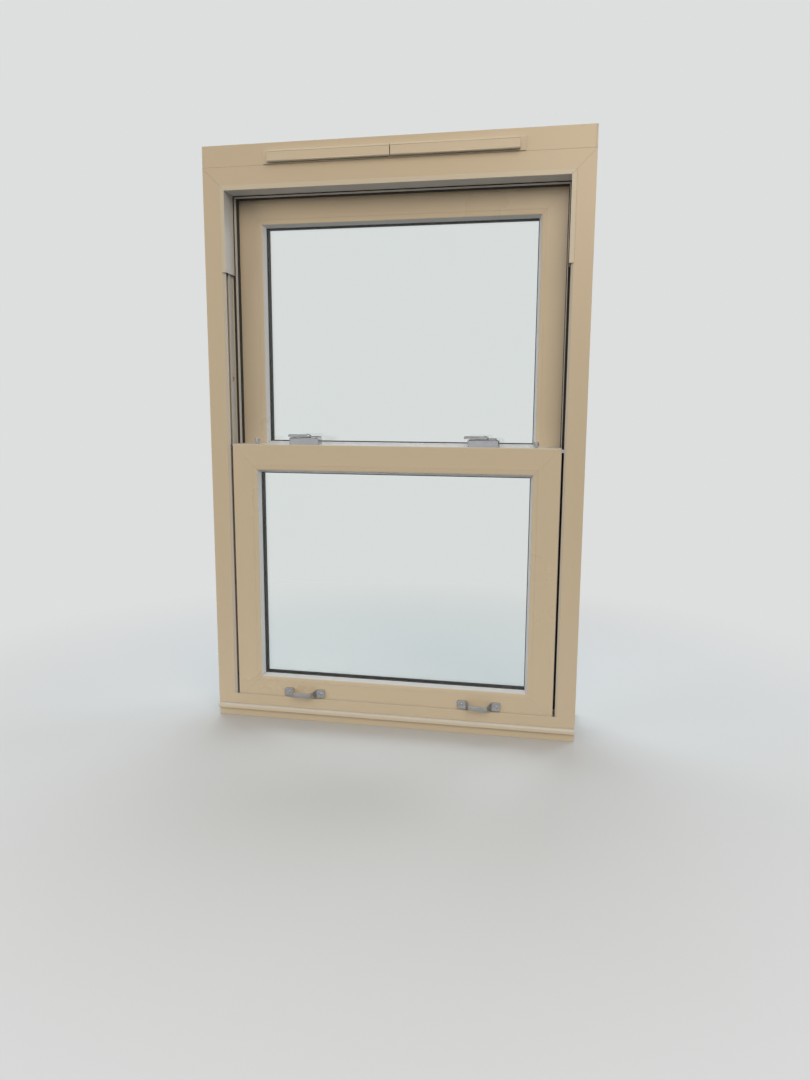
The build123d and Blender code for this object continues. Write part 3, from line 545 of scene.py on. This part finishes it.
# %% Bright metals
BRIGHT_LIGHT = (0.55, 0.55, 0.56, 1.0)
BRIGHT_DARK = (0.42, 0.42, 0.43, 1.0)
SPACER_LIGHT = (0.55, 0.56, 0.57, 1.0)
SPACER_DARK = (0.48, 0.49, 0.50, 1.0)
METAL_MOTTLE = 60.0
ALONG_X = (0.03, 1.0, 1.0)
LINE_SCALE = 260.0
LINE_DEPTH = 0.1 * MM
GLOSS_SWING = (0.7, 1.5)


def metal(name, light, dark, roughness, scratch):
    material, tree, shader, place = start_material(name, metallic=1.0, roughness=roughness)
    tone = use_group(tree, MOTTLE, place, Scale=METAL_MOTTLE, Light=light, Dark=dark)
    feed(tree, shader.inputs["Base Color"], tone["Color"])
    lines = use_group(tree, STRANDS, place, Stretch=ALONG_X, Scale=LINE_SCALE)["Mask"]
    around = tuple(roughness * swing for swing in GLOSS_SWING)
    feed(tree, shader.inputs["Roughness"], spread(tree, lines, UNIT, around))
    add_bump(tree, shader, lines, scratch, LINE_DEPTH)
    FINISHES[name] = material


metal("bright_metal", BRIGHT_LIGHT, BRIGHT_DARK, roughness=0.12, scratch=0.05)
metal("spacer_metal", SPACER_LIGHT, SPACER_DARK, roughness=0.35, scratch=0.1)
print("metals:", BRIGHT_LIGHT[:3], "and", SPACER_LIGHT[:3])

# %% [markdown]
# The steel inside the profiles is galvanised: zinc freezes on it in crystals of a few
# millimetres, each a slightly different grey. A cell pattern gives that spangle and its gloss.

# %% Galvanised steel
ZINC_DARK = (0.48, 0.50, 0.52, 1.0)
ZINC_LIGHT = (0.66, 0.68, 0.70, 1.0)
SPANGLE_SCALE = 160.0
ZINC_ROUGHNESS = 0.42
ZINC_GLOSS = (0.3, 0.5)


def galvanised(name):
    material, tree, shader, place = start_material(name, metallic=1.0, roughness=ZINC_ROUGHNESS)
    cells = tree.nodes.new("ShaderNodeTexVoronoi")
    cells.inputs["Scale"].default_value = SPANGLE_SCALE
    feed(tree, cells.inputs["Vector"], place)
    spangle = cells.outputs["Distance"]
    feed(tree, shader.inputs["Base Color"], blend(tree, spangle, ZINC_DARK, ZINC_LIGHT))
    feed(tree, shader.inputs["Roughness"], spread(tree, spangle, UNIT, ZINC_GLOSS))
    FINISHES[name] = material


galvanised("reinforcement_steel")
print("galvanised steel with", SPANGLE_SCALE, "spangles a metre")

# %% [markdown]
# The gaskets are black rubber, dull and slightly dusty. The brush seals are woven pile: fine
# fibres across the strip, so the strands run through its depth.

# %% Rubber and pile
RUBBER_DARK = (0.012, 0.012, 0.014, 1.0)
RUBBER_LIGHT = (0.03, 0.03, 0.032, 1.0)
PILE_DARK = (0.012, 0.011, 0.010, 1.0)
PILE_LIGHT = (0.06, 0.055, 0.05, 1.0)
ALONG_Y = (1.0, 0.08, 1.0)


def rubber(name):
    material, tree, shader, place = start_material(name, roughness=0.55)
    tone = use_group(tree, MOTTLE, place, Scale=40.0, Light=RUBBER_DARK, Dark=RUBBER_LIGHT)
    feed(tree, shader.inputs["Base Color"], tone["Color"])
    skin = use_group(tree, RELIEF, place, Fine=2500.0, Broad=400.0)
    add_bump(tree, shader, skin["Height"], strength=0.3, distance=0.2 * MM)
    FINISHES[name] = material


def pile(name):
    material, tree, shader, place = start_material(name, roughness=0.9)
    fibres = use_group(tree, STRANDS, place, Stretch=ALONG_Y, Scale=1800.0)["Mask"]
    feed(tree, shader.inputs["Base Color"], blend(tree, fibres, PILE_DARK, PILE_LIGHT))
    add_bump(tree, shader, fibres, strength=0.8, distance=0.6 * MM)
    FINISHES[name] = material


rubber("gasket")
pile("pile")
print("rubber and pile, near black")

# %% [markdown]
# The glass is clear float glass with a faint green cast. A ray tracer lets no lamplight through
# real glass, which would leave the bevels beside the panes in the dark. So the panes stay solid
# to the eye, but let most of the light rays pass.

# %% Glass
GLASS_CLEAR = (0.975, 0.992, 0.985, 1.0)
GLASS_GREEN = (0.965, 0.988, 0.98, 1.0)
GLASS_BEND = 1.5
GLASS_SHADE = 0.06


def glass(name):
    material, tree, shader, place = start_material(name, roughness=0.0)
    tone = use_group(tree, MOTTLE, place, Scale=3.0, Light=GLASS_CLEAR, Dark=GLASS_GREEN)
    feed(tree, shader.inputs["Base Color"], tone["Color"])
    shader.inputs["Transmission Weight"].default_value = 1.0
    shader.inputs["IOR"].default_value = GLASS_BEND
    path = tree.nodes.new("ShaderNodeLightPath").outputs
    lit = reckon(tree, "MAXIMUM", path["Is Shadow Ray"], path["Is Diffuse Ray"])
    feed(tree, shader.inputs["Alpha"], spread(tree, lit, UNIT, (1.0, GLASS_SHADE)))
    FINISHES[name] = material


glass("glass")
for node, obj in nodes.items():
    obj.data.materials.clear()
    obj.data.materials.append(FINISHES[slot_of[node]])
print(len(FINISHES), "finishes on", len(nodes), "solids")

# %% [markdown]
# The solids have knife-sharp edges. On the real profiles each edge has a small radius, and where
# two mitred members are welded the radii meet in the fine groove that shows as a diagonal line.
# Moving the solids' own corners would spoil the construction, so each visible member is copied
# and its loose triangles are merged.

# %% Merged copies of the solids
SMOOTH_ANGLE = math.radians(36)
FLAT_ANGLE = math.radians(0.5)
MERGE_GAP = 1e-6
INSIDE_STEP = 0.4 * MM


def solids_of(shape, node):
    # The mitred beads of a ring touch, so each triangle goes to the bead that lies behind it
    if not node.endswith("glazing_beads"):
        return [list(shape.faces)]
    low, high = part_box(node)
    sides = [[], [], [], []]
    for face in shape.faces:
        inside = face.calc_center_median() - face.normal * INSIDE_STEP
        reach = [inside.x - low.x, high.x - inside.x, inside.z - low.z, high.z - inside.z]
        sides[reach.index(min(reach))].append(face)
    return sides


def merged_copy(node, name):
    shape = bmesh.new()
    shape.from_mesh(nodes[node].data)
    bmesh.ops.split_edges(shape, edges=shape.edges)
    shape.normal_update()
    for faces in solids_of(shape, node):
        corners = list({vert for face in faces for vert in face.verts})
        bmesh.ops.remove_doubles(shape, verts=corners, dist=MERGE_GAP)
    bmesh.ops.dissolve_limit(
        shape, angle_limit=FLAT_ANGLE, verts=shape.verts, edges=shape.edges, delimit={"NORMAL"}
    )
    # Where two strips of one node meet end to end, their end faces go and the strips join
    ends = [face for face in shape.faces if all(len(edge.link_faces) > 2 for edge in face.edges)]
    bmesh.ops.delete(shape, geom=ends, context="FACES")
    bmesh.ops.recalc_face_normals(shape, faces=shape.faces)
    for face in shape.faces:
        face.smooth = True
    for edge in shape.edges:
        if len(edge.link_faces) == 2 and edge.calc_face_angle() > SMOOTH_ANGLE:
            edge.smooth = False
    return as_object(name, shape)


def add_piece(obj, body, finish):
    obj.data.materials.clear()
    obj.data.materials.append(FINISHES[finish])
    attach(obj, body)
    return obj


print("edges steeper than", round(math.degrees(SMOOTH_ANGLE)), "degrees stay sharp")

# %% [markdown]
# A bevel modifier then softens the copies: a small one on the extruded profiles, a rounder one on
# the cast catches. It only takes the steep edges, so the flat faces stay flat.

# %% Softened edges
FRAME_EDGE = 0.6 * MM
FITTING_EDGE = 0.5 * MM
HANDLE_EDGE = 0.7 * MM
ROUND_EDGE = 1.1 * MM
PROFILE_SLOTS = ("frame_plastic", "sash_plastic", "trim_plastic")
FITTING_SLOTS = ("vent_plastic", "bright_metal", "interlock_metal")


def soften(node, width, segments):
    piece = merged_copy(node, node + "_finished")
    add_piece(piece, body_of[node], slot_of[node])
    bevel = piece.modifiers.new("soft_edges", "BEVEL")
    bevel.width = width
    bevel.segments = segments
    bevel.limit_method = "ANGLE"
    bevel.angle_limit = SMOOTH_ANGLE
    bevel.use_clamp_overlap = True
    bevel.harden_normals = True
    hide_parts(node)


def edge_of(node):
    # Width and segments of a member's bevel, or nothing where it keeps its edges
    if slot_of[node] in PROFILE_SLOTS:
        return FRAME_EDGE, 2
    if node.startswith("pull_handle"):
        return HANDLE_EDGE, 3
    if node.startswith(("catch_body", "catch_lever")):
        return ROUND_EDGE, 4
    if slot_of[node] in FITTING_SLOTS:
        return FITTING_EDGE, 3
    return None


soft_nodes = [node for node in nodes if edge_of(node)]
for node in soft_nodes:
    soften(node, *edge_of(node))
print(len(soft_nodes), "members with softened edges")

# %% [markdown]
# The pile behind the parting bead leans on the upper sash, and its tips are pressed back. So the
# finished pile is a copy whose inner faces are drawn towards the bead. Hair by hair it would cost
# far more and read the same, because each fibre is thinner than a tenth of a millimetre.

# %% Pressed pile
PILE_PRESS = 1.7 * MM
PILE_NODE = "frame_pile_seals"
BEAD_BAND = (-9.5 * MM, 4.5 * MM)


def press_pile():
    piece = merged_copy(PILE_NODE, PILE_NODE + "_pressed")
    add_piece(piece, body_of[PILE_NODE], slot_of[PILE_NODE])
    corners = [vert.co for vert in piece.data.vertices]
    band = [co for co in corners if BEAD_BAND[0] < co.y < BEAD_BAND[1]]
    inner_x = min(abs(co.x) for co in band)
    inner_z = min(co.z for co in band if co.z > WINDOW_MIDDLE[2])
    for co in band:
        if abs(abs(co.x) - inner_x) < MERGE_GAP:
            co.x += math.copysign(PILE_PRESS, co.x)
        if abs(co.z - inner_z) < MERGE_GAP:
            co.z += PILE_PRESS
    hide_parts(PILE_NODE)
    return round(inner_x + PILE_PRESS, 4), round(inner_z + PILE_PRESS, 4)


print("pile now ends at x and z", press_pile())

# %% [markdown]
# Screws are too small for the solids. Each has a domed head in a sunk ring and a cross recess. An
# outline is spun round for the head, and two crossed bars are cut out of it, much as a punch
# strikes the cross into a real head.

# %% Screw heads
HEAD_RADIUS = 4.2 * MM
HEAD_RISE = 1.1 * MM
RECESS_LENGTH = 4.4 * MM
RECESS_WIDTH = 0.9 * MM
RECESS_DEPTH = 0.8 * MM
HEAD_PROFILE = [
    (0.0, 1.0), (0.38, 0.93), (0.66, 0.68), (0.80, 0.25), (0.84, -0.3), (0.90, -0.3),
    (0.93, 0.22), (0.98, 0.22), (1.0, -0.6),
]
TURN_STEPS = 28


def head_shape(scale):
    # The outline is given in shares of the head's radius and of its rise
    shape = bmesh.new()
    points = [
        shape.verts.new((HEAD_RADIUS * reach * scale, 0.0, HEAD_RISE * rise * scale))
        for reach, rise in HEAD_PROFILE
    ]
    edges = [shape.edges.new(pair) for pair in zip(points, points[1:])]
    bmesh.ops.spin(
        shape, geom=points + edges, cent=(0, 0, 0), axis=(0, 0, 1), angle=math.tau,
        steps=TURN_STEPS, use_merge=True,
    )
    bmesh.ops.remove_doubles(shape, verts=shape.verts, dist=MERGE_GAP)
    open_rim = [edge for edge in shape.edges if len(edge.link_faces) == 1]
    bmesh.ops.holes_fill(shape, edges=open_rim, sides=0)
    bmesh.ops.recalc_face_normals(shape, faces=shape.faces)
    for face in shape.faces:
        face.smooth = len(face.verts) < TURN_STEPS
    return shape


def recess_bar(scale, turn):
    size = Vector((RECESS_LENGTH * scale, RECESS_WIDTH * scale, RECESS_DEPTH * 2))
    shape = bmesh.new()
    bar = bmesh.ops.create_cube(shape, size=1.0)["verts"]
    bmesh.ops.scale(shape, vec=size, verts=bar)
    bmesh.ops.rotate(shape, matrix=Matrix.Rotation(turn, 3, "Z"), verts=bar)
    bmesh.ops.translate(shape, vec=(0, 0, HEAD_RISE * scale), verts=bar)
    return as_object("recess_bar", shape)


def recessed_head(scale):
    head = as_object("screw_head", head_shape(scale))
    bars = [recess_bar(scale, turn) for turn in (0.0, math.pi / 2)]
    for bar in bars:
        cut = head.modifiers.new("recess", "BOOLEAN")
        cut.operation = "DIFFERENCE"
        cut.solver = "EXACT"
        cut.object = bar
    settled = head.evaluated_get(bpy.context.evaluated_depsgraph_get())
    mesh = bpy.data.meshes.new_from_object(settled)
    for made in [head] + bars:
        bpy.data.meshes.remove(made.data)
    return mesh


SMALL_SCREW = 0.75
head_meshes = {scale: recessed_head(scale) for scale in (1.0, SMALL_SCREW)}
print("screw heads with", [len(mesh.polygons) for mesh in head_meshes.values()], "faces")

# %% [markdown]
# One head of each size is enough: it is set at every place by a turn and a shift. Each handle,
# catch, keeper and latch plate is held by two. On the catches the heads sit a little deeper, so
# that the levers pass over them.

# %% Screws in their places
FOOT_LENGTH = 20.0 * MM
HANDLE_PLATE = 4.0 * MM
CATCH_INSET = 6.5 * MM
CATCH_SUNK = 0.35 * MM
KEEPER_INSET = 6.0 * MM
KEEPER_REACH = 46.0 * MM
KEEPER_DROP = 4.0 * MM
PLATE_INSET = 6.0 * MM
PLATE_LENGTH = 78.0 * MM
PLATE_SUNK = 0.9 * MM
FACING_ROOM = Matrix.Rotation(math.radians(90), 4, "X")


def repeated(name, single, places):
    whole = bmesh.new()
    for place in places:
        before = len(whole.verts)
        whole.from_mesh(single)
        whole.verts.ensure_lookup_table()
        bmesh.ops.transform(whole, matrix=place, verts=whole.verts[before:])
    return as_object(name, whole)


def add_screws(name, body, places, scale=1.0):
    return add_piece(repeated(name, head_meshes[scale], places), body, "bright_metal")


def both_ends(starts, length, inset):
    # Two places along each piece of this length, at one distance from its ends
    return [x for start in starts for x in (start + inset, start + length - inset)]


for side in ("left", "right"):
    low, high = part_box("pull_handle_" + side)
    level = (low.z + high.z) / 2
    add_screws("handle_screws_" + side, "lower_sash", [
        Matrix.Translation((x, high.y - HANDLE_PLATE, level)) @ FACING_ROOM
        for x in both_ends([low.x], high.x - low.x, FOOT_LENGTH / 2)
    ])
    low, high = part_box("catch_body_" + side)
    add_screws("catch_screws_" + side, "lower_sash", [
        Matrix.Translation((x, low.y + CATCH_INSET, high.z - CATCH_SUNK))
        for x in both_ends([low.x], high.x - low.x, CATCH_INSET)
    ], SMALL_SCREW)
low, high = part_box("catch_keepers")
upright = (low.z + high.z) / 2 - KEEPER_DROP
add_screws("keeper_screws", "upper_sash", [
    Matrix.Translation((x, low.y, upright)) @ FACING_ROOM
    for x in both_ends([low.x, high.x - KEEPER_REACH], KEEPER_REACH, KEEPER_INSET)
], SMALL_SCREW)
for sash in ("lower", "upper"):
    low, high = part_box(sash + "_tilt_latch_plates")
    add_screws(sash + "_latch_plate_screws", sash + "_sash", [
        Matrix.Translation((x, (low.y + high.y) / 2, high.z - PLATE_SUNK * SMALL_SCREW))
        for x in both_ends([low.x, high.x - PLATE_LENGTH], PLATE_LENGTH, PLATE_INSET)
    ], SMALL_SCREW)
print("screws on handles, catches, keepers and latch plates")

# %% [markdown]
# Each catch lever turns on a riveted spindle. Its domed head is the screw head's outline without
# the recess, set on the lever's top, so that it turns with the lever.

# %% Rivets of the catch levers
RIVET_SCALE = 1.1
SPINDLE_INSET = 48.0 * MM
SPINDLE_DEPTH = -27.5 * MM
rivet = as_object("rivet", head_shape(RIVET_SCALE)).data
for side in ("left", "right"):
    low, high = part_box("catch_lever_" + side)
    place = Matrix.Translation((low.x + SPINDLE_INSET, SPINDLE_DEPTH, high.z))
    piece = repeated("lever_rivet_" + side, rivet, [place])
    add_piece(piece, "catch_lever_" + side + "_body", "bright_metal")
bpy.data.meshes.remove(rivet)
print("rivets", round(HEAD_RADIUS * RIVET_SCALE * 2 / MM, 1), "mm across on both levers")

# %% [markdown]
# Each balance rod is a flat strip twisted into a long spiral. One thin outline is extruded a step
# at a time and turned a little at each step, which is how the strip is twisted in the factory. A
# screw modifier would do it as well, but the steps show what happens.

# %% Spiral balance rods
ROD_PITCH = 110.0 * MM
ROD_STEP = 5.0 * MM
ROD_HALF_WIDTH = 3.0 * MM


def twist_rod(shape, centre, foot, top, half_thickness):
    made = bmesh.ops.create_grid(shape, x_segments=1, y_segments=1, size=1.0)["verts"]
    bmesh.ops.scale(shape, vec=(ROD_HALF_WIDTH, half_thickness, 1.0), verts=made)
    bmesh.ops.translate(shape, vec=(centre.x, centre.y, foot), verts=made)
    rim = list(made[0].link_faces[0].edges)
    steps = round((top - foot) / ROD_STEP)
    rise = (top - foot) / steps
    turn = Matrix.Rotation(math.tau * rise / ROD_PITCH, 3, "Z")
    for _ in range(steps):
        grown = bmesh.ops.extrude_edge_only(shape, edges=rim)["geom"]
        verts = [item for item in grown if isinstance(item, bmesh.types.BMVert)]
        edges = [item for item in grown if isinstance(item, bmesh.types.BMEdge)]
        rim = [edge for edge in edges if all(vert in verts for vert in edge.verts)]
        bmesh.ops.translate(shape, vec=(0, 0, rise), verts=verts)
        bmesh.ops.rotate(shape, cent=(centre.x, centre.y, 0), matrix=turn, verts=verts)
    bmesh.ops.holes_fill(shape, edges=rim, sides=4)


for sash in ("lower", "upper"):
    node = sash + "_balance_rods"
    low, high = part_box(node)
    shape = bmesh.new()
    for x in (low.x + ROD_HALF_WIDTH, high.x - ROD_HALF_WIDTH):
        middle = Vector((x, (low.y + high.y) / 2, 0))
        twist_rod(shape, middle, low.z, high.z, (high.y - low.y) / 2)
    bmesh.ops.recalc_face_normals(shape, faces=shape.faces)
    rods = add_piece(as_object(node + "_twisted", shape), body_of[node], slot_of[node])
    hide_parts(node)
    print(node, "twisted over", round(high.z - low.z, 3), "m")

# %% [markdown]
# The tilt knobs are turned from bar and have a fluted rim for the fingers. A short cylinder has
# every other vertex of its round side drawn in, and its end edges are bevelled. The solid's plain
# knob stays underneath as the core.

# %% Fluted grips of the tilt knobs
KNOB_RADIUS = 5.75 * MM
FLUTE_DEPTH = 0.35 * MM
KNOB_HEAD = 9.0 * MM
KNOB_COVER = 0.15 * MM
KNOB_EDGE = 0.7 * MM
FLUTES = 20


def head_middle(node):
    # Middle in x of the knob's round head, which is the highest part of its solid
    verts = [vert.co for vert in nodes[node].data.vertices]
    top = max(co.z for co in verts)
    head = [co.x for co in verts if co.z > top - MM]
    return (min(head) + max(head)) / 2


def knob_grip(node, x):
    low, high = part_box(node)
    shape = bmesh.new()
    made = bmesh.ops.create_cone(
        shape, cap_ends=True, cap_tris=False, segments=2 * FLUTES, radius1=KNOB_RADIUS,
        radius2=KNOB_RADIUS, depth=KNOB_HEAD + 2 * KNOB_COVER,
    )["verts"]
    shrink = (KNOB_RADIUS - FLUTE_DEPTH) / KNOB_RADIUS
    for vert in made:
        turn = math.atan2(vert.co.y, vert.co.x) / math.tau * 2 * FLUTES
        if round(turn) % 2:
            vert.co.x *= shrink
            vert.co.y *= shrink
    rims = [
        edge for edge in shape.edges
        if abs(edge.verts[0].co.z - edge.verts[1].co.z) < MERGE_GAP
    ]
    bmesh.ops.bevel(
        shape, geom=rims, offset=KNOB_EDGE, offset_type="OFFSET", segments=3, profile=0.5,
        affect="EDGES", material=-1, clamp_overlap=True,
    )
    middle = Vector((x, (low.y + high.y) / 2, high.z - KNOB_HEAD / 2))
    bmesh.ops.translate(shape, vec=middle, verts=shape.verts)
    bmesh.ops.recalc_face_normals(shape, faces=shape.faces)
    return add_piece(as_object(node + "_grip", shape), body_of[node], "bright_metal")


knob_x = {node: head_middle(node) for node in nodes if "tilt_knob" in node}
for node, x in knob_x.items():
    knob_grip(node, x)
print(len(knob_x), "fluted grips at x =", sorted(round(x, 4) for x in knob_x.values()))

# %% [markdown]
# Each vent flap is a thin moulding with a rolled lower edge to push it by, and a fine ridge near
# its top. Both are round bars run along the flap, sunk partly into its face, which is all that
# shows of a rolled edge.

# %% Rolled edge and ridge of the vent flaps
ROLL_RADIUS = 1.5 * MM
ROLL_SUNK = 0.35
RIDGE_RADIUS = 0.6 * MM
RIDGE_DROP = 4.0 * MM
BAR_INSET = 1.0 * MM
BAR_SEGMENTS = 20


def face_bar(node, ending, y, z, radius):
    low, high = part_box(node)
    shape = bmesh.new()
    made = bmesh.ops.create_cone(
        shape, cap_ends=True, cap_tris=False, segments=BAR_SEGMENTS, radius1=radius,
        radius2=radius, depth=high.x - low.x - 2 * BAR_INSET,
    )["verts"]
    bmesh.ops.rotate(shape, matrix=Matrix.Rotation(math.radians(90), 3, "Y"), verts=made)
    bmesh.ops.translate(shape, vec=((low.x + high.x) / 2, y, z), verts=made)
    for face in shape.faces:
        face.smooth = len(face.verts) == 4
    return add_piece(as_object(node + ending, shape), body_of[node], "vent_plastic")


for side in ("left", "right"):
    node = "vent_flap_" + side
    low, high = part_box(node)
    face_bar(node, "_roll", low.y + ROLL_RADIUS * ROLL_SUNK, low.z + ROLL_RADIUS, ROLL_RADIUS)
    face_bar(node, "_ridge", low.y, high.z - RIDGE_DROP, RIDGE_RADIUS)
print("rolled edges and ridges on both flaps")
